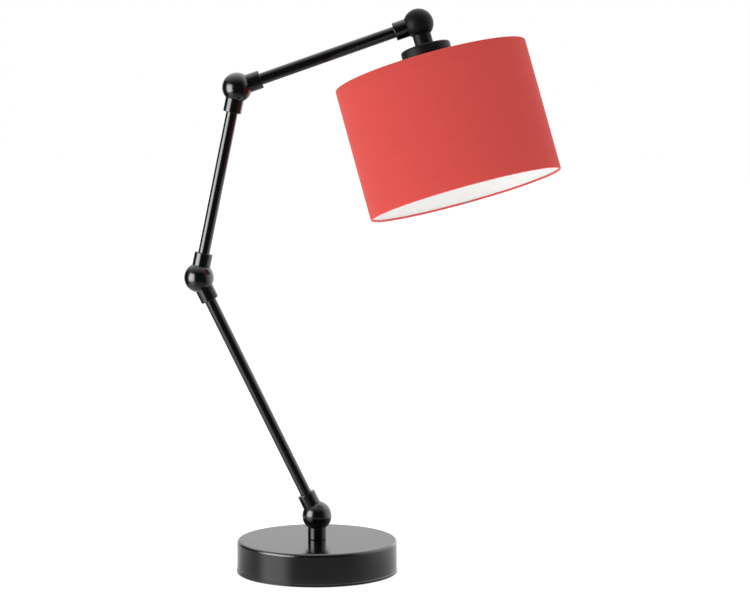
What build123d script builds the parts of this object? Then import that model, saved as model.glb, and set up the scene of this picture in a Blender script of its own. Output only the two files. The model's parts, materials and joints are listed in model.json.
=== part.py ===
"""Architect desk lamp: a weighted round base, three tubes and a drum shade, joined by four
split-ball friction swivels.

Frame: millimetres, +Z up, origin at the centre of the base's underside. The arms lie in the
X-Z plane and -Y is the front. The swivels' screw heads look to the back.
"""
import os
from math import acos, asin, cos, degrees, radians, sin, sqrt

from build123d import *

# ---------------------------------------------------------------- driving dimensions
# base
base_diameter = 162.0
base_height = 33.2
base_edge_radius = 3.0          # rounded top edge of the cover
cover_wall = 1.2
cover_bead = 0.5                # how far the rolled foot of the cover stands out
cover_bead_height = 3.0
cover_lift = 0.8                # gap between the cover's foot and the floor
pad_thickness = 2.0
pad_inset = 3.0                 # edge of the pad, in from the cover's wall
pad_edge = 0.5
weight_thickness = 17.0
weight_gap = 1.0                # weight to the cover's side wall
weight_edge = 2.0
boss_diameter = 42.0            # boss on the weight that carries the cover
pocket_diameter = 32.0          # pocket for the lock nut under the weight
pocket_depth = 9.0
cord_channel_width = 9.0
cord_inlet_height = 11.0        # above the floor

# hollow threaded nipples with their nuts and washer
nipple_diameter = 10.0
nipple_bore = 6.6
thread_clearance = 0.05
hole_clearance = 0.3            # nipple in a plain hole
nipple_engagement = 8.5         # length screwed into a collar
nipple_overrun = 1.2            # length past a lock nut
nut_across_flats = 14.0
nut_thickness = 3.5
washer_diameter = 24.0
washer_thickness = 1.5

# cord inlet grommet
grommet_flange_diameter = 13.0
grommet_flange_thickness = 2.0
grommet_neck_diameter = 9.0
grommet_lip = 1.0               # inner lip, proud of the neck
grommet_bore = 6.6
grommet_clearance = 0.1
notch_clearance = 1.0           # room round the grommet in the weight

# ball swivels
ball_diameter = 29.8
ball_wall = 2.6
seam = 0.5                      # gap between the rims of the two halves
running_clearance = 0.35        # one half to the other half's collar
collar_inset = 5.7              # how far the collar's side lies inside the ball's
collar_length = 10.3            # ball's surface to the outer end of a collar
neck_length = 8.8               # the same for the two collars on threaded nipples
collar_edge = 0.8
wireway_diameter = 6.6
boss_radius = 6.8               # central boss that carries the pivot screw
boss_setback = 1.0              # boss face behind the split plane
screw_diameter = 5.0
screw_clearance = 0.08
screw_head_diameter = 8.5
screw_head_height = 3.0
screw_head_edge = 0.4
screw_socket_across_flats = 3.0
screw_socket_depth = 1.6
screw_reach = 8.5               # split plane to the tip of the screw
tapped_depth = 9.5
spring_washer_thickness = 1.0
counterbore_diameter = 10.0
counterbore_floor = 6.5         # split plane to the seat of the spring washer
friction_disc_diameter = 12.6

# tubes
tube_diameter = 11.7
tube_wall = 1.5
tube_clearance = 0.05
socket_depth = 8.5

# arms: distances between ball centres, and angles from straight up towards +X
lower_arm_length = 268.0
middle_arm_length = 193.2
upper_arm_length = 190.3
lower_arm_angle = -25.93
middle_arm_angle = 11.66
upper_arm_angle = 70.68
shade_angle = 164.45            # direction in which the shade opens
head_turn = -9.38               # head swivel about the upper tube; below 0 the shade opens to the front

# lampholder, from its screw shell outwards, and the cup over it
shell_bore = 26.8               # E27 screw shell
shell_wall = 0.6
shell_length = 24.0
insulator_wall = 3.15
insulator_floor = 9.0
insulator_lip = 4.0             # mouth of the lampholder past the insulator
insulator_clearance = 0.05
skirt_wall = 2.5
cap_wall = 1.5
cap_length = 22.0
cap_overlap = 9.0               # length of the skirt inside the cap
cup_gap = 2.2                   # cap of the lampholder to the cup
cup_wall = 1.5
cup_edge_radius = 2.5
cup_length = 56.0
mouth_reach = 10.0              # mouth of the lampholder past the cup
contact_width = 5.0
contact_thickness = 0.6
contact_rise = 3.6
contact_margin = 3.4            # edge of the contact's recess, in from the screw shell

# shade ring nut and spider
ring_nut_wall = 6.7
ring_nut_height = 6.0
ring_nut_flutes = 18
flute_radius = 1.2
hub_margin = 2.0                # edge of the hub, out from the ring nut
hub_thickness = 1.6
spider_wire_diameter = 2.0
spider_arms = 3
spider_first_arm = 90.0         # round the shade's axis, from its side towards the upper tube
arm_clearance = 0.3             # arm in its notch in the rolled rim

# shade
shade_diameter = 194.0
shade_height = 133.0
shade_drop = 43.6               # ball centre to the shade's top rim
fabric_thickness = 0.4
liner_thickness = 0.5
liner_gap = 0.05
rim_wire_diameter = 1.2

# ---------------------------------------------------------------- worked-out places
base_radius = base_diameter / 2
ball_radius = ball_diameter / 2
collar_diameter = ball_diameter - 2 * collar_inset
collar_reach = ball_radius + collar_length      # ball centre to the outer end of a collar
neck_reach = ball_radius + neck_length
screw_bore = screw_diameter / 2 + screw_clearance
thread_bore = nipple_diameter / 2 + thread_clearance
plain_bore = nipple_diameter / 2 + hole_clearance
# seat at the end of a collar: its diameter, its depth, and how far the collar reaches
tube_seat = (tube_diameter + 2 * tube_clearance, socket_depth, collar_reach)
neck_seat = (2 * thread_bore, nipple_engagement, neck_reach)

up = Vector(0, 0, 1)
back = Vector(0, 1, 0)


def leaning(angle):
    """Unit vector in the X-Z plane, at an angle from straight up towards +X."""
    return Vector(sin(radians(angle)), 0, cos(radians(angle)))


lower_direction = leaning(lower_arm_angle)
middle_direction = leaning(middle_arm_angle)
upper_direction = leaning(upper_arm_angle)

base_ball = Vector(0, 0, base_height + neck_reach)
middle_ball = base_ball + lower_direction * lower_arm_length
elbow_ball = middle_ball + middle_direction * middle_arm_length
head_ball = elbow_ball + upper_direction * upper_arm_length

# The head swivel is turned about the upper tube, so the shade opens a little to the front.
upper_tube_axis = Axis((0, 0, 0), upper_direction)
head_hinge = back.rotate(upper_tube_axis, head_turn)
shade_direction = leaning(shade_angle).rotate(upper_tube_axis, head_turn)

os.makedirs("parts", exist_ok=True)


def save(builder, name):
    """Label a finished piece and write its file."""
    builder.part.label = name
    export_step(builder.part, f"parts/{name}.step")


# ---------------------------------------------------------------- ball swivels
def half_section(centre, neck, out):
    """Section plane of a half ball: x runs out along the neck, y to the pole of the half."""
    return Plane(origin=centre, x_dir=neck, z_dir=neck.cross(out))


def arc_between(radius, height, inner):
    """Arc about the ball's centre, from a height over the split plane to a distance from the hinge."""
    start = degrees(asin(height / radius))
    end = degrees(acos(inner / radius))
    return CenterArc((0, 0), radius, start, end - start)


def swivel_half(centre, neck, out, seat, drilled):
    """One half of a split ball with its collar.

    neck is the direction of the collar, out the direction from the split plane to the pole of
    this half. The drilled half holds the screw's head, the other half is tapped for its thread.
    """
    section = half_section(centre, neck, out)
    hinge = Axis(centre, out)
    rim = seam / 2
    seat_diameter, seat_depth, reach = seat
    with BuildPart() as half:
        # collar, a plain cylinder along the neck
        with BuildSketch(Plane(origin=centre, x_dir=out, z_dir=neck)):
            Circle(collar_diameter / 2)
        extrude(amount=reach)
        fillet(half.faces().sort_by(Axis(centre, neck))[-1].edges(), collar_edge)
        # it stops inside the wall of this half, and runs clear of the other half
        with BuildSketch(section):
            with BuildLine():
                own = CenterArc((0, 0), ball_radius - ball_wall / 2, 0, 90)
                Polyline(own @ 1, (0, 0), own @ 0)
            make_face()
            with BuildLine():
                cleared = ball_radius + running_clearance
                other = CenterArc((0, 0), cleared, -90, 90 + degrees(asin(rim / cleared)))
                Polyline(other @ 1, (0, rim), other @ 0)
            make_face()
        revolve(axis=hinge, mode=Mode.SUBTRACT)
        # hollow half ball with the boss in its middle
        with BuildSketch(section):
            with BuildLine():
                if drilled:
                    skin = arc_between(ball_radius, rim, counterbore_diameter / 2)
                    mouth = [(counterbore_diameter / 2, counterbore_floor), (screw_bore, counterbore_floor)]
                else:
                    skin = arc_between(ball_radius, rim, 0)
                    mouth = [(0, tapped_depth), (screw_bore, tapped_depth)]
                hollow = arc_between(ball_radius - ball_wall, rim, boss_radius)
                Polyline(skin @ 1, *mouth, (screw_bore, boss_setback), (boss_radius, boss_setback), hollow @ 1)
                Line(hollow @ 0, skin @ 0)
            make_face()
        revolve(axis=hinge)
        # way for the wires, and the seat of the tube or nipple
        with BuildSketch(Plane(origin=centre + neck * boss_radius, x_dir=out, z_dir=neck)):
            Circle(wireway_diameter / 2)
        extrude(amount=reach, mode=Mode.SUBTRACT)
        with BuildSketch(Plane(origin=centre + neck * reach, x_dir=out, z_dir=neck)):
            Circle(seat_diameter / 2)
        extrude(amount=-seat_depth, mode=Mode.SUBTRACT)
    return half


def pivot_screw(centre, neck, out):
    """Socket head screw that clamps the two halves, its head towards out."""
    seat = counterbore_floor + spring_washer_thickness
    top = seat + screw_head_height
    with BuildPart() as screw:
        with BuildSketch(half_section(centre, neck, out)):
            with BuildLine():
                Polyline(
                    (0, -screw_reach),
                    (screw_diameter / 2, -screw_reach),
                    (screw_diameter / 2, seat),
                    (screw_head_diameter / 2, seat),
                    (screw_head_diameter / 2, top - screw_head_edge),
                    (screw_head_diameter / 2 - screw_head_edge, top),
                    (0, top),
                    close=True,
                )
            make_face()
        revolve(axis=Axis(centre, out))
        with BuildSketch(Plane(origin=centre + out * top, x_dir=neck, z_dir=out)):
            RegularPolygon(screw_socket_across_flats / 2, 6, major_radius=False)
        extrude(amount=-screw_socket_depth, mode=Mode.SUBTRACT)
    return screw


def ring_on_screw(centre, neck, out, start, thickness, diameter):
    """Flat ring round the pivot screw, from a distance behind or beyond the split plane."""
    with BuildPart() as ring:
        with BuildSketch(Plane(origin=centre + out * start, x_dir=neck, z_dir=out)):
            Circle(diameter / 2)
            Circle(screw_bore, mode=Mode.SUBTRACT)
        extrude(amount=thickness)
    return ring


def swivel(name, centre, hinge, front_neck, front_seat, back_neck, back_seat):
    """A whole swivel: the back half holds the screw's head, the front half is tapped for its thread."""
    save(swivel_half(centre, front_neck, -hinge, front_seat, drilled=False), f"{name}_ball_front")
    save(swivel_half(centre, back_neck, hinge, back_seat, drilled=True), f"{name}_ball_back")
    save(pivot_screw(centre, front_neck, hinge), f"{name}_pivot_screw")
    disc = ring_on_screw(centre, front_neck, hinge, -boss_setback, 2 * boss_setback, friction_disc_diameter)
    save(disc, f"{name}_friction_disc")
    washer = ring_on_screw(
        centre, front_neck, hinge, counterbore_floor, spring_washer_thickness, screw_head_diameter
    )
    save(washer, f"{name}_spring_washer")


# The front half is on the link nearer the base, but at the head it is the one that carries the shade.
swivel("base", base_ball, back, -up, neck_seat, lower_direction, tube_seat)
swivel("middle", middle_ball, back, -lower_direction, tube_seat, middle_direction, tube_seat)
swivel("elbow", elbow_ball, back, -middle_direction, tube_seat, upper_direction, tube_seat)
swivel("head", head_ball, head_hinge, shade_direction, neck_seat, -upper_direction, tube_seat)


# ---------------------------------------------------------------- tubes
def tube(start, end):
    """Plain tube between two ball centres, seated on the shoulders of its two sockets."""
    along = (end - start).normalized()
    shoulder = collar_reach - socket_depth
    with BuildPart() as pipe:
        with BuildSketch(Plane(origin=start + along * shoulder, x_dir=back, z_dir=along)):
            Circle(tube_diameter / 2)
            Circle(tube_diameter / 2 - tube_wall, mode=Mode.SUBTRACT)
        extrude(amount=(end - start).length - 2 * shoulder)
    return pipe


save(tube(base_ball, middle_ball), "lower_tube")
save(tube(middle_ball, elbow_ball), "middle_tube")
save(tube(elbow_ball, head_ball), "upper_tube")


# ---------------------------------------------------------------- nipples and lock nuts
def nipple(origin, along, length):
    """Hollow threaded rod that carries the wires."""
    with BuildPart() as rod:
        with BuildSketch(Plane(origin=origin, z_dir=along)):
            Circle(nipple_diameter / 2)
            Circle(nipple_bore / 2, mode=Mode.SUBTRACT)
        extrude(amount=length)
    return rod


def lock_nut(origin, along):
    """Thin hexagon nut on a nipple."""
    with BuildPart() as nut:
        with BuildSketch(Plane(origin=origin, z_dir=along)):
            RegularPolygon(nut_across_flats / 2, 6, major_radius=False)
            Circle(thread_bore, mode=Mode.SUBTRACT)
        extrude(amount=nut_thickness)
    return nut


# ---------------------------------------------------------------- base
side_radius = base_radius - cover_bead
side_inside = side_radius - cover_wall
cover_ceiling = base_height - cover_wall
weight_radius = side_inside - weight_gap
pocket_ceiling = pad_thickness + pocket_depth
base_nut_start = pocket_ceiling - washer_thickness - nut_thickness
base_nipple_start = base_nut_start - nipple_overrun

with BuildPart() as base_cover:
    with BuildSketch(Plane.XZ) as wall:
        with BuildLine():
            Polyline(
                (side_inside, cover_lift),
                (base_radius, cover_lift),
                (base_radius, cover_bead_height),
                (side_radius, cover_bead_height + cover_bead),
                (side_radius, base_height),
                (plain_bore, base_height),
                (plain_bore, cover_ceiling),
                (side_inside, cover_ceiling),
                close=True,
            )
        make_face()
        corners = wall.vertices()
        fillet(corners.sort_by_distance((side_radius, base_height))[0], base_edge_radius)
        fillet(corners.sort_by_distance((side_inside, cover_ceiling))[0], base_edge_radius - cover_wall)
        fillet(corners.sort_by_distance((base_radius, cover_lift))[0], cover_bead)
        fillet(corners.sort_by_distance((base_radius, cover_bead_height))[0], cover_bead)
    revolve(axis=Axis.Z)
    with BuildSketch(Plane.XZ.offset(-base_radius)):
        with Locations((0, cord_inlet_height)):
            Circle(grommet_neck_diameter / 2 + grommet_clearance)
    extrude(amount=base_radius - side_inside + cover_wall, mode=Mode.SUBTRACT)
save(base_cover, "base_cover")

with BuildPart() as base_weight:
    with BuildSketch(Plane.XZ):
        with BuildLine():
            Polyline(
                (plain_bore, pocket_ceiling),
                (pocket_diameter / 2, pocket_ceiling),
                (pocket_diameter / 2, pad_thickness),
                (weight_radius, pad_thickness),
                (weight_radius, pad_thickness + weight_thickness - weight_edge),
                (weight_radius - weight_edge, pad_thickness + weight_thickness),
                (boss_diameter / 2, pad_thickness + weight_thickness),
                (boss_diameter / 2, cover_ceiling),
                (plain_bore, cover_ceiling),
                close=True,
            )
        make_face()
    revolve(axis=Axis.Z)
    # channel for the cord under the weight, and room for the grommet at its mouth
    channel_height = cord_inlet_height + cord_channel_width / 2 - pad_thickness
    with BuildSketch(Plane.XY.offset(pad_thickness)):
        with Locations((0, weight_radius / 2)):
            Rectangle(cord_channel_width, weight_radius)
    extrude(amount=channel_height, mode=Mode.SUBTRACT)
    notch_width = grommet_neck_diameter + 2 * (grommet_lip + notch_clearance)
    notch_depth = grommet_flange_thickness + notch_clearance
    with BuildSketch(Plane.XY.offset(pad_thickness)):
        with Locations((0, side_inside)):
            Rectangle(notch_width, 2 * notch_depth)
    extrude(amount=weight_thickness, mode=Mode.SUBTRACT)
save(base_weight, "base_weight")

with BuildPart() as base_pad:
    with BuildSketch():
        Circle(side_inside - pad_inset)
    extrude(amount=pad_thickness)
    fillet(base_pad.faces().sort_by(Axis.Z)[0].edges(), pad_edge)
save(base_pad, "base_pad")

with BuildPart() as base_washer:
    with BuildSketch(Plane.XY.offset(pocket_ceiling - washer_thickness)):
        Circle(washer_diameter / 2)
        Circle(plain_bore, mode=Mode.SUBTRACT)
    extrude(amount=washer_thickness)
save(base_washer, "base_washer")

save(lock_nut((0, 0, base_nut_start), up), "base_lock_nut")
base_nipple_length = base_height + nipple_engagement - base_nipple_start
save(nipple((0, 0, base_nipple_start), up, base_nipple_length), "base_nipple")

with BuildPart() as cord_grommet:
    neck_radius = grommet_neck_diameter / 2
    flange_radius = grommet_flange_diameter / 2
    # the lip lies flat against the inside of the round wall
    lip_start = sqrt(side_inside**2 - (neck_radius + grommet_lip) ** 2)
    inner_end = lip_start - grommet_flange_thickness
    outer_end = side_radius + grommet_flange_thickness
    with BuildSketch(Plane((0, 0, cord_inlet_height), x_dir=back, z_dir=(1, 0, 0))):
        with BuildLine():
            Polyline(
                (inner_end, grommet_bore / 2),
                (outer_end, grommet_bore / 2),
                (outer_end, flange_radius - grommet_lip),
                (outer_end - grommet_lip, flange_radius),
                (side_radius, flange_radius),
                (side_radius, neck_radius),
                (lip_start, neck_radius),
                (lip_start, neck_radius + grommet_lip),
                (inner_end, neck_radius),
                close=True,
            )
        make_face()
    revolve(axis=Axis((0, 0, cord_inlet_height), back))
save(cord_grommet, "cord_grommet")

# ---------------------------------------------------------------- head
# In the head's section x is the distance from the shade's axis, and y the distance from the
# ball's centre in the direction in which the shade opens.
radial = head_hinge.cross(shade_direction)
head_section = Plane(origin=head_ball, x_dir=radial, z_dir=radial.cross(shade_direction))
shade_axis = Axis(head_ball, shade_direction)


def head_plane(reach):
    """Plane square to the shade's axis, at a distance from the ball's centre."""
    return Plane(origin=head_ball + shade_direction * reach, x_dir=radial, z_dir=shade_direction)


def turned(*points):
    """Piece of the head turned about the shade's axis from an outline of section points."""
    with BuildPart() as piece:
        with BuildSketch(head_section):
            with BuildLine():
                Polyline(*points, close=True)
            make_face()
        revolve(axis=shade_axis)
    return piece


shell_radius = shell_bore / 2 + shell_wall
insulator_radius = shell_radius + thread_clearance + insulator_wall
skirt_inside = insulator_radius + insulator_clearance
skirt_radius = skirt_inside + skirt_wall
cap_inside = skirt_radius + thread_clearance
cap_radius = cap_inside + cap_wall
cup_inside = cap_radius + cup_gap
cup_radius = cup_inside + cup_wall
cup_start = neck_reach
cup_ceiling = cup_start + cup_wall
cup_end = cup_start + cup_length
head_nut_end = cup_ceiling + nut_thickness

with BuildPart() as holder_cup:
    with BuildSketch(head_section) as wall:
        with BuildLine():
            Polyline(
                (thread_bore, cup_start),
                (cup_radius, cup_start),
                (cup_radius, cup_end),
                (cup_inside, cup_end),
                (cup_inside, cup_ceiling),
                (thread_bore, cup_ceiling),
                close=True,
            )
        make_face()
        corners = wall.vertices()
        fillet(corners.sort_by_distance((cup_radius, cup_start))[0], cup_edge_radius)
        fillet(corners.sort_by_distance((cup_inside, cup_ceiling))[0], cup_edge_radius - cup_wall)
    revolve(axis=shade_axis)
save(holder_cup, "holder_cup")

head_nipple_start = cup_start - nipple_engagement
head_nipple_end = head_nut_end + nipple_engagement
head_nipple_origin = head_ball + shade_direction * head_nipple_start
save(nipple(head_nipple_origin, shade_direction, head_nipple_end - head_nipple_start), "head_nipple")
save(lock_nut(head_ball + shade_direction * cup_ceiling, shade_direction), "head_lock_nut")

# lampholder: a cap screwed on the nipple, a skirt in the cap, and the works inside
holder_end = cup_end + mouth_reach
cap_neck = nipple_diameter / 2 + 2 * cap_wall
cap_end = head_nut_end + cap_length
skirt_start = cap_end - cap_overlap
insulator_end = holder_end - insulator_lip
shell_end = insulator_end
shell_start = shell_end - shell_length
insulator_start = shell_start - insulator_floor
contact_floor = shell_start - contact_rise - 2 * contact_thickness
recess_radius = shell_bore / 2 - contact_margin

lampholder_cap = turned(
    (thread_bore, head_nut_end),
    (cap_neck, head_nut_end),
    (cap_neck, head_nipple_end - 2 * cap_wall),
    (cap_radius, skirt_start - cap_wall),
    (cap_radius, cap_end),
    (cap_inside, cap_end),
    (cap_inside, skirt_start),
    (thread_bore, head_nipple_end),
)
save(lampholder_cap, "lampholder_cap")

lampholder_skirt = turned(
    (skirt_inside, skirt_start),
    (skirt_radius, skirt_start),
    (skirt_radius, holder_end),
    (skirt_inside, holder_end),
)
save(lampholder_skirt, "lampholder_skirt")

lampholder_insulator = turned(
    (0, insulator_start),
    (insulator_radius, insulator_start),
    (insulator_radius, insulator_end),
    (shell_radius + thread_clearance, insulator_end),
    (shell_radius + thread_clearance, shell_start),
    (recess_radius, shell_start),
    (recess_radius, contact_floor),
    (0, contact_floor),
)
save(lampholder_insulator, "lampholder_insulator")

screw_shell = turned(
    (shell_bore / 2, shell_start),
    (shell_radius, shell_start),
    (shell_radius, shell_end),
    (shell_bore / 2, shell_end),
)
save(screw_shell, "screw_shell")

# sprung tongue, folded back over its foot
with BuildPart() as centre_contact:
    foot = contact_floor + contact_thickness / 2
    reach = recess_radius - 2 * contact_thickness
    with BuildSketch(head_section):
        with BuildLine():
            Polyline((-reach, foot), (reach, foot), (reach, foot + contact_rise / 2), (0, foot + contact_rise))
        trace(line_width=contact_thickness)
    extrude(amount=contact_width / 2, both=True)
save(centre_contact, "centre_contact")

# ---------------------------------------------------------------- shade carrier
hub_end = cup_end + hub_thickness
hub_bore = skirt_radius + hole_clearance
ring_nut_bore = skirt_radius + thread_clearance
ring_nut_radius = ring_nut_bore + ring_nut_wall
hub_radius = ring_nut_radius + hub_margin
roll_radius = rim_wire_diameter / 2 + liner_gap + fabric_thickness
rim_radius = shade_diameter / 2 - roll_radius
top_rim = shade_drop + roll_radius
bottom_rim = shade_drop + shade_height - roll_radius
arm_start = (hub_radius - spider_wire_diameter / 2, cup_end + hub_thickness / 2)
arm_end = (rim_radius - rim_wire_diameter / 4, top_rim)


def arm_line(angle):
    """Plane at the foot of a spider arm, square to the arm, and the arm's length."""
    outwards = radial.rotate(Axis((0, 0, 0), shade_direction), angle)
    foot, tip = (head_ball + outwards * r + shade_direction * reach for r, reach in (arm_start, arm_end))
    return Plane(origin=foot, z_dir=tip - foot), (tip - foot).length


arm_lines = [arm_line(spider_first_arm + i * 360 / spider_arms) for i in range(spider_arms)]

with BuildPart() as spider_hub:
    with BuildSketch(head_plane(cup_end)):
        Circle(hub_radius)
        Circle(hub_bore, mode=Mode.SUBTRACT)
    extrude(amount=hub_thickness)
save(spider_hub, "spider_hub")


def rim_wire(reach):
    """Ring of wire round the shade's axis, at a distance from the ball's centre."""
    with BuildPart() as wire:
        with BuildSketch(head_section):
            with Locations((rim_radius, reach)):
                Circle(rim_wire_diameter / 2)
        revolve(axis=shade_axis)
    return wire


save(rim_wire(top_rim), "spider_rim_wire")

for number, (plane, length) in enumerate(arm_lines, 1):
    with BuildPart() as spider_arm:
        with BuildSketch(plane):
            Circle(spider_wire_diameter / 2)
        extrude(amount=length)
        # its ends are shaped to the hub and the wire that they are welded to
        with BuildSketch(head_plane(cup_end)):
            Circle(hub_radius)
        extrude(amount=2 * spider_wire_diameter, both=True, mode=Mode.SUBTRACT)
        add(rim_wire(top_rim).part, mode=Mode.SUBTRACT)
    save(spider_arm, f"spider_arm_{number}")

with BuildPart() as shade_ring_nut:
    with BuildSketch(head_plane(hub_end)):
        Circle(ring_nut_radius)
        Circle(ring_nut_bore, mode=Mode.SUBTRACT)
        with PolarLocations(ring_nut_radius, ring_nut_flutes):
            Circle(flute_radius, mode=Mode.SUBTRACT)
    extrude(amount=ring_nut_height)
save(shade_ring_nut, "shade_ring_nut")

# ---------------------------------------------------------------- shade
wall_radius = shade_diameter / 2
wall_inside = wall_radius - fabric_thickness
wall_middle = (top_rim + bottom_rim) / 2

save(rim_wire(bottom_rim), "shade_rim_wire")

# The fabric is one wall, rolled inwards round a wire at each end.
with BuildPart() as shade_fabric:
    with BuildSketch(head_section):
        with Locations((rim_radius, top_rim), (rim_radius, bottom_rim)):
            Circle(roll_radius)
            Circle(roll_radius - fabric_thickness, mode=Mode.SUBTRACT)
        hem = roll_radius / 2
        with Locations((wall_inside - roll_radius, wall_middle)):
            Rectangle(2 * roll_radius, bottom_rim - top_rim - 2 * hem, mode=Mode.SUBTRACT)
        with Locations((wall_radius - fabric_thickness / 2, wall_middle)):
            Rectangle(fabric_thickness, bottom_rim - top_rim)
    revolve(axis=shade_axis)
    for plane, length in arm_lines:
        with BuildSketch(plane):
            Circle(spider_wire_diameter / 2 + arm_clearance)
        extrude(amount=length, mode=Mode.SUBTRACT)
save(shade_fabric, "shade_fabric")

liner_radius = wall_inside - liner_gap
shade_liner = turned(
    (liner_radius - liner_thickness, top_rim + roll_radius),
    (liner_radius, top_rim + roll_radius),
    (liner_radius, bottom_rim - roll_radius),
    (liner_radius - liner_thickness, bottom_rim - roll_radius),
)
save(shade_liner, "shade_liner")
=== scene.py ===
"""Finishes of the architect desk lamp: the black coats on its metal, the shade's cloth and lining,
the rolled screw shell, the weld beads of the spider, and a plain white studio."""
import json
from math import cos, pi, radians, sin, tau

import bpy
import numpy as np
from mathutils import Matrix, Vector


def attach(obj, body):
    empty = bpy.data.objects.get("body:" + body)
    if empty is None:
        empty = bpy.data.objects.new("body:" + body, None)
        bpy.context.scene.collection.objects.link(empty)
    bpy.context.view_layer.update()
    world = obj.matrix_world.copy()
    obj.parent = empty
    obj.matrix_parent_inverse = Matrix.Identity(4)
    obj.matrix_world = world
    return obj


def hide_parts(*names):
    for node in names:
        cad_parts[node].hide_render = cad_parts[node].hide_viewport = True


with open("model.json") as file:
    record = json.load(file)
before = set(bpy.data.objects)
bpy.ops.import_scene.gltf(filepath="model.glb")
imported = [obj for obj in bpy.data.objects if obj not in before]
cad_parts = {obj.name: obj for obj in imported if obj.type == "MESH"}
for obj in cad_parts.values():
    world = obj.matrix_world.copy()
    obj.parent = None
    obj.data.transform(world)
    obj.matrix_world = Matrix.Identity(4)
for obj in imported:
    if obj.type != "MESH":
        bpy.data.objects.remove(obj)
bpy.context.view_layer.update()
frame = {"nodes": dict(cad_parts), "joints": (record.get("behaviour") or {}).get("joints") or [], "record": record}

MM = 0.001
nodes = frame["nodes"]
joints = {joint["name"]: joint for joint in frame["joints"]}
mounts = {mount["name"]: mount for mount in frame["record"]["mounts"]}


# ---------------------------------------------------------------- small helpers
def linear(code):
    """Linear RGBA of an sRGB hex colour."""
    channels = [int(code[i : i + 2], 16) / 255 for i in (1, 3, 5)]
    return [c / 12.92 if c < 0.04045 else ((c + 0.055) / 1.055) ** 2.4 for c in channels] + [1.0]


def add(tree, kind, inputs=None, **settings):
    """Add a node. Each input takes a value, or the socket that it is linked from."""
    node = tree.nodes.new(kind)
    for name, value in settings.items():
        setattr(node, name, value)
    for name, value in (inputs or {}).items():
        if isinstance(value, bpy.types.NodeSocket):
            tree.links.new(value, node.inputs[name])
        else:
            node.inputs[name].default_value = value
    return node


def new_material(name):
    """Empty node material and its tree."""
    material = bpy.data.materials.new(name)
    material.use_nodes = True
    material.node_tree.nodes.clear()
    return material, material.node_tree


def dress(material, *names):
    """Give CAD nodes a finish."""
    for name in names:
        for place in nodes[name].material_slots:
            place.material = material


def linked(name, data):
    """Object in the scene, at the origin."""
    made = bpy.data.objects.new(name, data)
    bpy.context.scene.collection.objects.link(made)
    return made


def on_head(name, mesh, material):
    """Piece riding on the head, from a mesh that holds its own place."""
    mesh.materials.clear()
    mesh.materials.append(material)
    made = linked(name, mesh)
    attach(made, "head")
    return made


# ---------------------------------------------------------------- places on the head
head_centre = Vector(joints["head_tilt"]["pos_m"])
hinge = Vector(joints["head_tilt"]["axis"]).normalized()
opens = Vector(mounts["lamp_socket"]["axis"]).normalized()    # the way the shade opens
side = hinge.cross(opens).normalized()
behind = opens.cross(side).normalized()


def head_place(along):
    """Place on the shade's axis, that far from the ball, with Z the way the shade opens."""
    place = Matrix((side, behind, opens)).transposed().to_4x4()
    place.translation = head_centre + opens * along
    return place


def around(node):
    """Distances of a head node's corners from the shade's axis, and along it from the ball."""
    points = np.array([v.co for v in nodes[node].data.vertices], float) - np.array(head_centre)
    along = points @ np.array(opens)
    away = np.linalg.norm(points - along[:, None] * np.array(opens), axis=1)
    return away, along


# ---------------------------------------------------------------- finishes
def lacquer(name, colour, roughness, smudge, peel, specular):
    """Black film on steel, baked on: it mirrors the room with a faint orange peel.

    smudge is how far the roughness wanders where hands have wiped it, and peel the height in
    millimetres of the waves that spraying leaves.
    """
    wiped_patch, wave = 28 * MM, 2 * MM
    material, tree = new_material(name)
    place = add(tree, "ShaderNodeTexCoord").outputs["Object"]
    wiped = add(
        tree, "ShaderNodeTexNoise", {"Vector": place, "Scale": 1 / wiped_patch, "Detail": 3.0}
    )
    rough = add(
        tree,
        "ShaderNodeMapRange",
        {"Value": wiped.outputs["Fac"], "From Min": 0.35, "From Max": 0.7,
         "To Min": roughness, "To Max": roughness + smudge},
    )
    waves = add(tree, "ShaderNodeTexNoise", {"Vector": place, "Scale": 1 / wave, "Detail": 1.0})
    relief = add(
        tree,
        "ShaderNodeBump",
        {"Height": waves.outputs["Fac"], "Strength": 1.0, "Distance": peel * MM},
    )
    film = add(
        tree,
        "ShaderNodeBsdfPrincipled",
        {"Base Color": linear(colour), "Roughness": rough.outputs[0], "IOR": 1.5,
         "Specular IOR Level": specular, "Normal": relief.outputs[0]},
    )
    add(tree, "ShaderNodeOutputMaterial", {"Surface": film.outputs[0]})
    return material


# Stove enamel on the stand: a deep gloss like piano lacquer.
gloss_enamel = lacquer(
    "gloss_black_stove_enamel", "#070908", roughness=0.13, smudge=0.05, peel=0.0015, specular=0.5
)
# Powder coat on the parts of the lampholder: satin, so lamps show in it as broad soft patches.
satin_coat = lacquer(
    "satin_black_powder_coat", "#101110", roughness=0.42, smudge=0.08, peel=0.01, specular=0.1
)
dress(gloss_enamel, "base_cover", "lower_tube", "middle_tube", "upper_tube", "head_ball_back")
for swivel in ("base", "middle", "elbow"):
    dress(gloss_enamel, f"{swivel}_ball_front", f"{swivel}_ball_back")
dress(satin_coat, "head_ball_front", "holder_cup")


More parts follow.
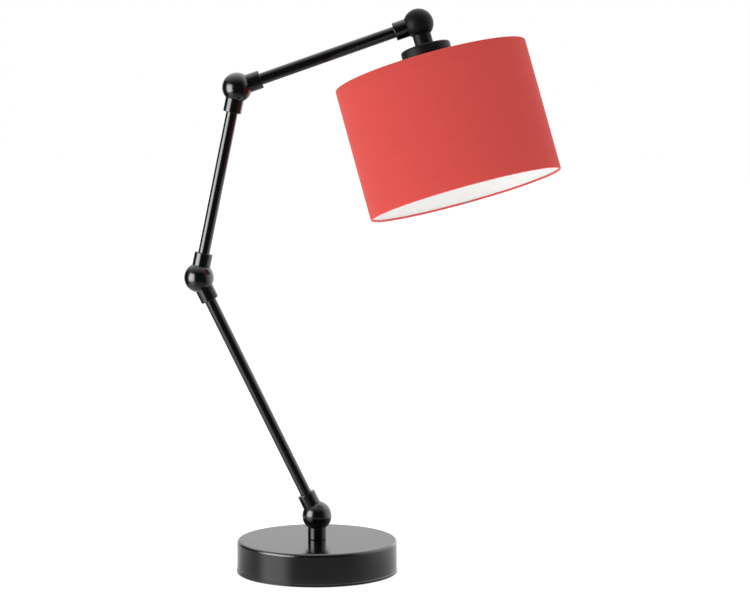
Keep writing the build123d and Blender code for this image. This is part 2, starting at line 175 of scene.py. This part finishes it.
def plain(name, colours, roughness, grain, relief, **shader):
    """Finish that wanders between two close colours over a fine grain.

    grain is the grain's size and relief its height, in millimetres. More of the shader's sockets
    may follow.
    """
    material, tree = new_material(name)
    place = add(tree, "ShaderNodeTexCoord").outputs["Object"]
    speckle = add(
        tree, "ShaderNodeTexNoise", {"Vector": place, "Scale": 1 / (grain * MM), "Detail": 2.0}
    )
    ramp = add(tree, "ShaderNodeValToRGB", {"Fac": speckle.outputs["Fac"]})
    for stop, colour, position in zip(ramp.color_ramp.elements, colours, (0.35, 0.65)):
        stop.position = position
        stop.color = linear(colour)
    bumps = add(
        tree,
        "ShaderNodeBump",
        {"Height": speckle.outputs["Fac"], "Strength": 1.0, "Distance": relief * MM},
    )
    settings = {
        "Base Color": ramp.outputs["Color"], "Roughness": roughness, "Normal": bumps.outputs[0]
    }
    coat = add(tree, "ShaderNodeBsdfPrincipled", {**settings, **shader})
    add(tree, "ShaderNodeOutputMaterial", {"Surface": coat.outputs[0]})
    return material


# Zinc-plated steel: bluish grey metal with a soft, cloudy shine.
zinc_plate = plain(
    "zinc_plated_steel", ("#a9adb0", "#c3c6c8"), roughness=0.3, grain=3.0, relief=0.004,
    Metallic=1.0,
)
# Grey cast iron, as it comes from sand: dark and rough.
cast_iron = plain(
    "sand_cast_iron", ("#3a3a3b", "#4c4c4c"), roughness=0.65, grain=1.5, relief=0.12, Metallic=0.6
)
# Closed-cell EVA foam: dull black with a fine cell pattern.
foam = plain(
    "eva_foam", ("#161616", "#242424"), roughness=0.9, grain=0.8, relief=0.08
)
# Moulded nitrile rubber: dull black, a little shiny where the mould was smooth.
rubber = plain(
    "moulded_nitrile_rubber", ("#121212", "#191919"), roughness=0.5, grain=1.2, relief=0.01
)
# Vulcanised fibre: hard brown-black paper board, slightly waxy.
fibre = plain(
    "vulcanised_fibre", ("#2a211b", "#372b22"), roughness=0.6, grain=0.9, relief=0.01
)
# Powder coat on welded wire: smooth white plastic film.
powder_coat = plain(
    "white_powder_coat", ("#e6e6e3", "#ededea"), roughness=0.38, grain=1.6, relief=0.01
)
# Moulded thermoset, as on lampholders: black with a soft moulded shine.
thermoset = plain(
    "moulded_black_thermoset", ("#101010", "#161616"), roughness=0.32, grain=1.8, relief=0.006
)
# Steatite ceramic, pressed and fired unglazed: chalky ivory white.
steatite = plain(
    "fired_steatite_ceramic", ("#e3dfd2", "#ece9de"), roughness=0.55, grain=1.0, relief=0.01
)
# Brass strip, rolled and pressed: warm yellow metal with a bright surface.
brass = plain(
    "pressed_brass", ("#d6b25e", "#e2c27a"), roughness=0.22, grain=2.0, relief=0.003, Metallic=1.0
)
# Styrene film: the white backing of the cloth, smooth and slightly waxy.
film = plain(
    "white_styrene_film", ("#f4f4f2", "#f8f8f6"), roughness=0.45, grain=9.0, relief=0.02
)

for swivel in ("base", "middle", "elbow", "head"):
    dress(zinc_plate, f"{swivel}_pivot_screw", f"{swivel}_spring_washer")
    dress(fibre, f"{swivel}_friction_disc")
dress(zinc_plate, "base_nipple", "base_washer", "base_lock_nut")
dress(zinc_plate, "head_nipple", "head_lock_nut", "shade_rim_wire")
dress(cast_iron, "base_weight")
dress(foam, "base_pad")
dress(rubber, "cord_grommet")
dress(powder_coat, "spider_hub", "spider_arm_1", "spider_arm_2", "spider_arm_3", "spider_rim_wire")
dress(thermoset, "lampholder_cap", "lampholder_skirt", "shade_ring_nut")
dress(steatite, "lampholder_insulator")
dress(brass, "centre_contact")
dress(film, "shade_liner")


def laminated_cotton():
    """Plain-woven dyed cotton glued to a film: matt, with thick and thin threads.

    The threads lie 0.45 mm apart, too fine for the render, so the weave is drawn at twice that.
    Slubs, where a thread is thick, run along it for a few centimetres.
    """
    pitch, slub_length = 0.9 * MM, 22 * MM
    material, tree = new_material("laminated_dyed_cotton")
    cloth = add(tree, "ShaderNodeUVMap", uv_map="cloth").outputs[0]     # metres along and up
    split = add(tree, "ShaderNodeSeparateXYZ", {0: cloth})
    thread = []
    for way in ("X", "Y"):
        angle = add(
            tree, "ShaderNodeMath", {0: split.outputs[way], 1: tau / pitch}, operation="MULTIPLY"
        )
        thread.append(add(tree, "ShaderNodeMath", {0: angle.outputs[0]}, operation="SINE"))
    weave = add(
        tree,
        "ShaderNodeMath",
        {0: thread[0].outputs[0], 1: thread[1].outputs[0]},
        operation="MULTIPLY",
    )
    slubs = []
    for scale in ((1 / slub_length, 1 / pitch, 1), (1 / pitch, 1 / slub_length, 1)):
        stretched = add(tree, "ShaderNodeMapping", {"Vector": cloth, "Scale": scale})
        slubs.append(
            add(
                tree,
                "ShaderNodeTexNoise",
                {"Vector": stretched.outputs[0], "Scale": 1.0, "Detail": 2.0},
            )
        )
    slub = add(
        tree,
        "ShaderNodeMath",
        {0: slubs[0].outputs["Fac"], 1: slubs[1].outputs["Fac"]},
        operation="ADD",
    )
    height = add(
        tree,
        "ShaderNodeMath",
        {0: weave.outputs[0], 1: 0.35, 2: slub.outputs[0]},
        operation="MULTIPLY_ADD",
    )
    relief = add(
        tree,
        "ShaderNodeBump",
        {"Height": height.outputs[0], "Strength": 1.0, "Distance": 0.013 * MM},
    )
    tone = add(tree, "ShaderNodeValToRGB", {"Fac": slub.outputs[0]})
    for stop, colour, position in zip(
        tone.color_ramp.elements, ("#d64e49", "#da524d"), (0.75, 1.0)
    ):
        stop.position = position
        stop.color = linear(colour)
    dyed = add(
        tree,
        "ShaderNodeBsdfPrincipled",
        {"Base Color": tone.outputs["Color"], "Roughness": 0.92, "Specular IOR Level": 0.12,
         "Sheen Weight": 0.1, "Sheen Roughness": 0.45, "Sheen Tint": linear("#ffd8d2"),
         "Normal": relief.outputs[0]},
    )
    add(tree, "ShaderNodeOutputMaterial", {"Surface": dyed.outputs[0]})
    return material


cotton = laminated_cotton()

# ---------------------------------------------------------------- the shade's cloth
wall_away, wall_along = around("shade_fabric")
cloth_radius = float(wall_away.max())
top_rim, bottom_rim = float(wall_along.min()), float(wall_along.max())
cloth_thickness = 0.4 * MM
wire_radius = 0.6 * MM
glue = 0.05 * MM
roll = wire_radius + glue + cloth_thickness / 2       # middle of the cloth round the wire
hem_turn = radians(300)
notch_turn = radians(70)                              # the hem at the arms of the spider
notch = 2.2 * MM                                      # each side of an arm's middle
arm_angles = [radians(90 + 120 * i) for i in range(3)]
seam_angle = radians(88)                              # where the cloth starts, at the back
lap_width = 12 * MM
climb = 5 * MM                                        # over which the lap rises on the start
lap_rise = 1.1 * cloth_thickness
around_steps = 288
lap_steps = 6
wall_steps = 10
roll_steps = 14


def cloth_section(tuck):
    """Middle line of the cloth from hem to hem: (distance from the axis, along the axis).

    tuck is how far the hems are rolled in, in radians from the outside of the wire.
    """
    wire = cloth_radius - cloth_thickness / 2 - roll
    top = top_rim + roll + cloth_thickness / 2
    bottom = bottom_rim - roll - cloth_thickness / 2
    turn = [tuck * (1 - i / roll_steps) for i in range(roll_steps + 1)]
    upper = [(wire + roll * cos(a), top - roll * sin(a)) for a in turn]
    lower = [(wire + roll * cos(a), bottom + roll * sin(a)) for a in reversed(turn)]
    wall = [(wire + roll, top + (bottom - top) * i / wall_steps) for i in range(1, wall_steps)]
    return upper + wall + lower


def thick_ring(section, thickness):
    """Closed outline round a middle line, half the thickness to each side."""
    line = np.array(section)
    ahead = np.gradient(line, axis=0)
    ahead /= np.linalg.norm(ahead, axis=1)[:, None]
    out = np.stack([ahead[:, 1], -ahead[:, 0]], axis=1) * thickness / 2
    return np.concatenate([line + out, (line - out)[::-1]])


def cloth_angles():
    """Angles of the sections: even steps, closer over the lap and at the notches' corners."""
    even = {round(seam_angle + i * tau / around_steps, 6) for i in range(around_steps + 1)}
    lap = lap_width / cloth_radius
    lapped = {
        round(seam_angle + tau + lap * i / lap_steps, 6) for i in range(1, lap_steps + 1)
    }
    at_arms = {
        round(seam_angle + (arm + off - seam_angle) % tau, 6)
        for arm in arm_angles
        for off in np.array((-3.2, -2.0, -1.4, 1.4, 2.0, 3.2)) * MM / cloth_radius
    }
    return sorted(even | lapped | at_arms)


def make_cloth():
    """Sheet bent round the shade with its end lapped over its start, and its cut height."""
    angles = cloth_angles()
    rings = []
    for angle in angles:
        from_arm = min(abs((angle - arm + pi) % tau - pi) for arm in arm_angles) * cloth_radius
        middle = cloth_section(hem_turn if from_arm > notch else notch_turn)
        past_start = angle - (seam_angle + tau) + climb / cloth_radius
        rise = lap_rise * min(max(past_start * cloth_radius / climb, 0), 1)
        outline = thick_ring(middle, cloth_thickness) + np.array((rise, 0))
        rings.append([(r * cos(angle), r * sin(angle), w) for r, w in outline])
    place = head_place(0)
    vertices = [tuple(place @ Vector(point)) for ring in rings for point in ring]
    count = len(rings[0])
    faces = []
    for k in range(len(rings) - 1):
        for i in range(count):
            j = (i + 1) % count
            faces.append((k * count + i, (k + 1) * count + i, (k + 1) * count + j, k * count + j))
    last = (len(rings) - 1) * count
    for i in range(count // 2 - 1):
        faces.append((i, i + 1, count - 2 - i, count - 1 - i))
        faces.append((last + i, last + count - 1 - i, last + count - 2 - i, last + i + 1))
    mesh = bpy.data.meshes.new("shade_cloth")
    mesh.from_pydata(vertices, [], faces)
    mesh.validate()
    cloth = on_head("shade_cloth", mesh, cotton)

    # the weave follows the cloth: metres round the shade, and from hem to hem on both faces
    up = np.concatenate([[0], np.cumsum(np.linalg.norm(np.diff(middle, axis=0), axis=1))])
    both_faces = np.concatenate([up, up[::-1]])
    layer = mesh.uv_layers.new(name="cloth")
    for loop in mesh.loops:
        ring, i = divmod(loop.vertex_index, count)
        layer.data[loop.index].uv = (angles[ring] * cloth_radius, both_faces[i])
    for polygon in mesh.polygons:
        polygon.use_smooth = True
    return cloth, float(up[-1])


shade_cloth, cut_height = make_cloth()
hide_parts("shade_fabric")


# ---------------------------------------------------------------- what repeats
def new_tree(name, *sizes):
    """Geometry Nodes tree with named inputs, and the sockets that their values come from."""
    tree = bpy.data.node_groups.new(name, "GeometryNodeTree")
    for size in sizes:
        kind = "NodeSocketInt" if size == "Seed" else "NodeSocketFloat"
        tree.interface.new_socket(size, in_out="INPUT", socket_type=kind)
    tree.interface.new_socket("Geometry", in_out="OUTPUT", socket_type="NodeSocketGeometry")
    return tree, add(tree, "NodeGroupInput").outputs


def finish_tree(tree, geometry, material):
    """Close the tree: real, smooth faces with their finish."""
    real = add(tree, "GeometryNodeRealizeInstances", {"Geometry": geometry})
    smooth = add(tree, "GeometryNodeSetShadeSmooth", {"Geometry": real.outputs[0]})
    coated = add(
        tree, "GeometryNodeSetMaterial", {"Geometry": smooth.outputs[0], "Material": material}
    )
    add(tree, "NodeGroupOutput", {"Geometry": coated.outputs[0]})


def grown(name, tree, material, along, sizes):
    """Plain mesh piece from a tree, on the shade's axis that far from the ball."""
    holder = linked(name + "_tree", bpy.data.meshes.new(name + "_tree"))
    modifier = holder.modifiers.new("tree", "NODES")
    modifier.node_group = tree
    for item in tree.interface.items_tree:
        if item.in_out == "INPUT":
            modifier[item.identifier] = sizes[item.name]
    shaped = holder.evaluated_get(bpy.context.evaluated_depsgraph_get())
    mesh = bpy.data.meshes.new_from_object(shaped)
    mesh.name = name
    bpy.data.objects.remove(holder)
    mesh.transform(head_place(along))
    return on_head(name, mesh, material)


def screw_shell_tree():
    """Thin wall rolled into a round screw thread, closed at both rims.

    A flat grid is bent into the shell: across it runs once round, and up it runs from the foot
    to the mouth outside the wall and back inside it. The thread dies out at the rims.
    """
    round_points, up_points = 97, 201
    rim_bend = 0.04                 # how much of the way up and back goes into the rims' edges
    tree, size = new_tree(
        "rolled_screw_shell", "Radius", "Wall", "Length", "Pitch", "Depth", "Rim"
    )
    grid = add(
        tree,
        "GeometryNodeMeshGrid",
        {"Size X": tau, "Size Y": 2.0, "Vertices X": round_points, "Vertices Y": up_points},
    )
    flat = add(
        tree, "ShaderNodeSeparateXYZ", {0: add(tree, "GeometryNodeInputPosition").outputs[0]}
    )
    turn = flat.outputs["X"]
    folded = add(tree, "ShaderNodeMath", {0: flat.outputs["Y"]}, operation="ABSOLUTE")
    up = add(tree, "ShaderNodeMath", {0: 1.0, 1: folded.outputs[0]}, operation="SUBTRACT")
    along = add(
        tree, "ShaderNodeMath", {0: up.outputs[0], 1: size["Length"]}, operation="MULTIPLY"
    )

    # which face of the wall, from 0.5 outside to -0.5 inside, changing quickly at the rims
    half_turn = add(tree, "ShaderNodeMath", {0: flat.outputs["Y"], 1: pi}, operation="MULTIPLY")
    swing = add(tree, "ShaderNodeMath", {0: half_turn.outputs[0]}, operation="SINE")
    skin = add(
        tree,
        "ShaderNodeMapRange",
        {"Value": swing.outputs[0], "From Min": -rim_bend, "From Max": rim_bend,
         "To Min": 0.5, "To Max": -0.5},
    )

    # the thread's wave, and how strong it is this near to a rim
    turns = add(
        tree, "ShaderNodeMath", {0: along.outputs[0], 1: size["Pitch"]}, operation="DIVIDE"
    )
    climbed = add(tree, "ShaderNodeMath", {0: turns.outputs[0], 1: tau}, operation="MULTIPLY")
    phase = add(tree, "ShaderNodeMath", {0: climbed.outputs[0], 1: turn}, operation="SUBTRACT")
    wave = add(tree, "ShaderNodeMath", {0: phase.outputs[0]}, operation="COSINE")
    to_mouth = add(
        tree, "ShaderNodeMath", {0: size["Length"], 1: along.outputs[0]}, operation="SUBTRACT"
    )
    nearest = add(
        tree,
        "ShaderNodeMath",
        {0: along.outputs[0], 1: to_mouth.outputs[0]},
        operation="MINIMUM",
    )
    strength = add(
        tree,
        "ShaderNodeMapRange",
        {"Value": nearest.outputs[0], "From Max": size["Rim"], "To Max": 0.5},
        interpolation_type="SMOOTHSTEP",
    )
    depth = add(
        tree, "ShaderNodeMath", {0: strength.outputs[0], 1: size["Depth"]}, operation="MULTIPLY"
    )

    middle = add(
        tree,
        "ShaderNodeMath",
        {0: wave.outputs[0], 1: depth.outputs[0], 2: size["Radius"]},
        operation="MULTIPLY_ADD",
    )
    radius = add(
        tree,
        "ShaderNodeMath",
        {0: skin.outputs[0], 1: size["Wall"], 2: middle.outputs[0]},
        operation="MULTIPLY_ADD",
    )
    ways = []
    for operation in ("COSINE", "SINE"):
        way = add(tree, "ShaderNodeMath", {0: turn}, operation=operation)
        ways.append(
            add(
                tree,
                "ShaderNodeMath",
                {0: way.outputs[0], 1: radius.outputs[0]},
                operation="MULTIPLY",
            )
        )
    bent = add(
        tree,
        "ShaderNodeCombineXYZ",
        {"X": ways[0].outputs[0], "Y": ways[1].outputs[0], "Z": along.outputs[0]},
    )
    shell = add(
        tree,
        "GeometryNodeSetPosition",
        {"Geometry": grid.outputs["Mesh"], "Position": bent.outputs[0]},
    )
    joined = add(
        tree,
        "GeometryNodeMergeByDistance",
        {"Geometry": shell.outputs[0], "Distance": 0.001 * MM},
    )
    finish_tree(tree, joined.outputs[0], brass)
    return tree


def weld_bead_tree():
    """Flattened beads of weld in two rings: at the feet of the spider's arms and at their tips."""
    tree, size = new_tree(
        "spider_weld_beads", "Foot Radius", "Tip Radius", "Tip Height", "Bead", "Seed"
    )
    feet = add(tree, "GeometryNodeMeshCircle", {"Vertices": 3, "Radius": size["Foot Radius"]})
    tips = add(tree, "GeometryNodeMeshCircle", {"Vertices": 3, "Radius": size["Tip Radius"]})
    up = add(tree, "ShaderNodeCombineXYZ", {"Z": size["Tip Height"]})
    raised = add(
        tree,
        "GeometryNodeTransform",
        {"Geometry": tips.outputs["Mesh"], "Translation": up.outputs[0]},
    )
    ends = add(tree, "GeometryNodeJoinGeometry")
    for ring in (raised, feet):
        tree.links.new(ring.outputs[0], ends.inputs[0])
    turned = add(
        tree,
        "GeometryNodeTransform",
        {"Geometry": ends.outputs[0], "Rotation": (0, 0, arm_angles[0])},
    )
    ball = add(tree, "GeometryNodeMeshUVSphere", {"Segments": 20, "Rings": 12, "Radius": 1.0})
    uneven = add(
        tree,
        "FunctionNodeRandomValue",
        {"Min": (0.9, 0.85, 0.6), "Max": (1.1, 1.15, 0.75), "Seed": size["Seed"]},
        data_type="FLOAT_VECTOR",
    )
    scale = add(
        tree,
        "ShaderNodeVectorMath",
        {0: uneven.outputs[0], "Scale": size["Bead"]},
        operation="SCALE",
    )
    beads = add(
        tree,
        "GeometryNodeInstanceOnPoints",
        {"Points": turned.outputs[0], "Instance": ball.outputs["Mesh"],
         "Scale": scale.outputs[0]},
    )
    finish_tree(tree, beads.outputs[0], powder_coat)
    return tree


# E27 thread: 3.63 mm from turn to turn, rolled in thin brass strip. The middle of its wave lies
# half the thread's depth and half the wall inside the shell's outline, with a little air.
shell_away, shell_along = around("screw_shell")
shell = grown(
    "rolled_screw_shell",
    screw_shell_tree(),
    brass,
    float(shell_along.min()),
    {
        "Radius": float(shell_away.max()) - 0.75 * MM,
        "Wall": 0.35 * MM,
        "Length": float(shell_along.max() - shell_along.min()),
        "Pitch": 3.63 * MM,
        "Depth": 1.1 * MM,
        "Rim": 2.0 * MM,
    },
)
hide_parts("screw_shell")

# Beads about 3.4 mm across on 2 mm wire, sunk a little into what they join.
hub_away, hub_along = around("spider_hub")
wire_away, wire_along = around("spider_rim_wire")
beads = grown(
    "spider_weld_beads",
    weld_bead_tree(),
    powder_coat,
    float(hub_along.mean()),
    {
        "Foot Radius": float(hub_away.max()),
        "Tip Radius": float(wire_away.min()) - 0.2 * MM,
        "Tip Height": float(wire_along.mean() - hub_along.mean()),
        "Bead": 1.7 * MM,
        "Seed": 5,
    },
)

# ---------------------------------------------------------------- camera
# A long lens in front, level with the top of the lamp and looking down a little.
looks_down = 6.29                                     # degrees
camera = linked("camera", bpy.data.cameras.new("camera"))
camera.location = (0.05845, -2.7, 0.573)
camera.rotation_euler = (radians(90 - looks_down), 0, 0)
camera.data.lens = 130.53
camera.data.sensor_width = 36
bpy.context.scene.camera = camera
bpy.context.scene.view_settings.view_transform = "Standard"


# ---------------------------------------------------------------- room
def compass(azimuth, elevation):
    """Direction from the lamp: azimuth in degrees from the front towards the right."""
    flat = cos(radians(elevation))
    return Vector(
        (flat * sin(radians(azimuth)), -flat * cos(radians(azimuth)), sin(radians(elevation)))
    )


def glow(tree, toward, middle, core, edge, level):
    """Round soft patch in the room: full level within the core angle, nothing past the edge."""
    near = add(tree, "ShaderNodeVectorMath", {0: toward, 1: middle}, operation="DOT_PRODUCT")
    angle = add(tree, "ShaderNodeMath", {0: near.outputs["Value"]}, operation="ARCCOSINE")
    patch = add(
        tree,
        "ShaderNodeMapRange",
        {"Value": angle.outputs[0], "From Min": radians(core), "From Max": radians(edge),
         "To Min": level, "To Max": 0.0},
        interpolation_type="SMOOTHSTEP",
    )
    return patch.outputs[0]


# The room as it is lit and as it is mirrored. Seen straight it is plain white. In the black
# enamel it is a dark room with a white wall behind, a glow overhead that ends above that wall,
# and a pale wall to the right.
dark_room = 0.04
matt_level = 0.45                                     # what lights matt surfaces
room = bpy.data.worlds.new("studio")
bpy.context.scene.world = room
room.use_nodes = True
room.cycles.sampling_method = "NONE"
tree = room.node_tree
tree.nodes.clear()
ray = add(tree, "ShaderNodeLightPath")
toward = add(tree, "ShaderNodeTexCoord").outputs["Generated"]
height = add(tree, "ShaderNodeSeparateXYZ", {0: toward}).outputs["Z"]
high_up = add(
    tree,
    "ShaderNodeMapRange",
    {"Value": height, "From Min": 0.7, "From Max": 0.2, "To Min": 1.0, "To Max": 0.0},
    interpolation_type="SMOOTHSTEP",
)
ceiling = glow(tree, toward, compass(180, 62), core=5, edge=85, level=2.4)
overhead = add(
    tree, "ShaderNodeMath", {0: ceiling, 1: high_up.outputs[0]}, operation="MULTIPLY"
)
white_wall = glow(tree, toward, compass(180, 0), core=28, edge=48, level=0.95)
pale_wall = glow(tree, toward, compass(112, 8), core=12, edge=68, level=2.3)
mirrored = dark_room
for patch in (white_wall, overhead.outputs[0], pale_wall):
    mirrored = add(tree, "ShaderNodeMath", {0: patch, 1: mirrored}, operation="ADD").outputs[0]

seen = add(
    tree,
    "ShaderNodeMath",
    {0: ray.outputs["Is Camera Ray"], 1: ray.outputs["Is Transmission Ray"]},
    operation="MAXIMUM",
)
with_gloss = add(
    tree,
    "ShaderNodeMath",
    {0: ray.outputs["Is Glossy Ray"], 1: mirrored, 2: seen.outputs[0]},
    operation="MULTIPLY_ADD",
)
strength = add(
    tree,
    "ShaderNodeMath",
    {0: ray.outputs["Is Diffuse Ray"], 1: matt_level, 2: with_gloss.outputs[0]},
    operation="MULTIPLY_ADD",
)
sky = add(
    tree, "ShaderNodeBackground", {"Color": (1, 1, 1, 1), "Strength": strength.outputs[0]}
)
add(tree, "ShaderNodeOutputWorld", {"Surface": sky.outputs[0]})


# ---------------------------------------------------------------- floor
def pale_floor():
    """Floor that keeps the object's own shadow, white to the camera where it is lit.

    In the enamel it is a small round table with a slight shine. Its paleness behind the lamp and
    dimness in front are a painted glow that only gloss sees, not light from the lamps. What a pale
    floor throws back on the object comes from the low softbox.
    """
    camera_white = 0.78                               # on top of what the lamps give the paint
    front, back = (-0.2, 0.3), (0.2, 0.7)             # depth and level of the table's two ends
    table_middle, table_core, table_edge = (-0.2, -0.08, 0), 0.34, 0.6
    material, tree = new_material("matt_white_floor_paint")
    ray = add(tree, "ShaderNodeLightPath")
    paint = add(tree, "ShaderNodeBsdfDiffuse", {"Color": linear("#ededed")})
    seen = add(
        tree,
        "ShaderNodeMath",
        {0: ray.outputs["Is Camera Ray"], 1: ray.outputs["Is Transmission Ray"]},
        operation="MAXIMUM",
    )
    white = add(
        tree, "ShaderNodeMath", {0: seen.outputs[0], 1: camera_white}, operation="MULTIPLY"
    )
    glow_of_white = add(tree, "ShaderNodeEmission", {"Strength": white.outputs[0]})
    painted = add(
        tree, "ShaderNodeAddShader", {0: paint.outputs[0], 1: glow_of_white.outputs[0]}
    )

    spot = add(tree, "ShaderNodeTexCoord").outputs["Object"]
    depth = add(tree, "ShaderNodeSeparateXYZ", {0: spot}).outputs["Y"]
    # painted glow on the table, seen only in gloss: dim in front of the lamp, pale behind it, standing in for how
    # it is lit
    level = add(
        tree,
        "ShaderNodeMapRange",
        {"Value": depth, "From Min": front[0], "From Max": back[0],
         "To Min": front[1], "To Max": back[1]},
        interpolation_type="SMOOTHSTEP",
    )
    table_glow = add(tree, "ShaderNodeEmission", {"Strength": level.outputs[0]})
    shine = add(
        tree, "ShaderNodeBsdfGlossy", {"Color": (0.19, 0.19, 0.19, 1), "Roughness": 0.35}
    )
    table_glow_and_shine = add(tree, "ShaderNodeAddShader", {0: table_glow.outputs[0], 1: shine.outputs[0]})
    from_middle = add(
        tree, "ShaderNodeVectorMath", {0: spot, 1: table_middle}, operation="DISTANCE"
    )
    on_table = add(
        tree,
        "ShaderNodeMapRange",
        {"Value": from_middle.outputs["Value"], "From Min": table_core, "From Max": table_edge,
         "To Min": 1.0, "To Max": 0.0},
        interpolation_type="SMOOTHSTEP",
    )
    beyond = add(tree, "ShaderNodeBsdfTransparent")
    in_enamel = add(
        tree,
        "ShaderNodeMixShader",
        {0: on_table.outputs[0], 1: beyond.outputs[0], 2: table_glow_and_shine.outputs[0]},
    )
    either = add(
        tree,
        "ShaderNodeMixShader",
        {0: ray.outputs["Is Glossy Ray"], 1: painted.outputs[0], 2: in_enamel.outputs[0]},
    )
    add(tree, "ShaderNodeOutputMaterial", {"Surface": either.outputs[0]})
    return material


def rectangle(name, width, depth, material):
    """Flat mesh about the origin, facing up."""
    x, y = width / 2, depth / 2
    mesh = bpy.data.meshes.new(name)
    mesh.from_pydata([(-x, -y, 0), (x, -y, 0), (x, y, 0), (-x, y, 0)], [], [(0, 1, 2, 3)])
    mesh.materials.append(material)
    return mesh


floor = linked("floor", rectangle("floor", 12, 12, pale_floor()))


# ---------------------------------------------------------------- lamps
def aimed(name, data, place, aim):
    """Put a lamp or a panel somewhere, turned to what it lights."""
    made = linked(name, data)
    made.location = place
    made.rotation_euler = (Vector(aim) - Vector(place)).to_track_quat("-Z", "Y").to_euler()
    return made


def softbox(name, place, aim, size, power):
    """Rectangular lamp that lights matt surfaces, itself unseen."""
    lamp = bpy.data.lights.new(name, "AREA")
    lamp.shape = "RECTANGLE"
    lamp.size, lamp.size_y = size
    lamp.energy = power
    made = aimed(name, lamp, place, aim)
    made.visible_glossy = made.visible_camera = False


def softbox_front(name, place, aim, size, level, edge):
    """White cloth on the front of a softbox, which only gloss shows.

    It is at its level in the middle and falls to nothing over the edge's width.
    """
    material, tree = new_material(name + "_cloth")
    material.cycles.emission_sampling = "NONE"
    spot = add(tree, "ShaderNodeTexCoord").outputs["Object"]
    split = add(tree, "ShaderNodeSeparateXYZ", {0: spot})
    strength = level
    for way, length in zip("XY", size):
        off = add(tree, "ShaderNodeMath", {0: split.outputs[way]}, operation="ABSOLUTE")
        inside = add(
            tree,
            "ShaderNodeMapRange",
            {"Value": off.outputs[0], "From Min": length / 2 - edge, "From Max": length / 2,
             "To Min": 1.0, "To Max": 0.0},
            interpolation_type="SMOOTHSTEP",
        )
        strength = add(
            tree, "ShaderNodeMath", {0: inside.outputs[0], 1: strength}, operation="MULTIPLY"
        ).outputs[0]
    light = add(tree, "ShaderNodeEmission", {"Strength": strength})
    add(tree, "ShaderNodeOutputMaterial", {"Surface": light.outputs[0]})
    panel = aimed(name, rectangle(name, *size, material), place, aim)
    for kind in ("camera", "diffuse", "transmission", "volume_scatter", "shadow"):
        setattr(panel, "visible_" + kind, False)


# Places, aims and sizes are in metres, and powers in watts.
softbox(
    "left_softbox", place=(-1.35, -1.15, 0.85), aim=(0.03, 0, 0.32), size=(0.45, 1.0), power=5.6
)
softbox("top_softbox", place=(0.1, 0.2, 2.0), aim=(0.05, 0, 0.3), size=(1.4, 1.0), power=10)
# This one lies on the floor and gives what a pale floor throws back.
softbox("low_softbox", place=(0.05, 0, 0.002), aim=(0.05, 0, 1), size=(4.0, 4.0), power=53)
softbox_front(
    "left_softbox_front",
    place=(-0.97, -0.52, 0.37),
    aim=(-0.06, 0, 0.37),
    size=(1.3, 1.4),
    level=12.5,
    edge=0.46,
)
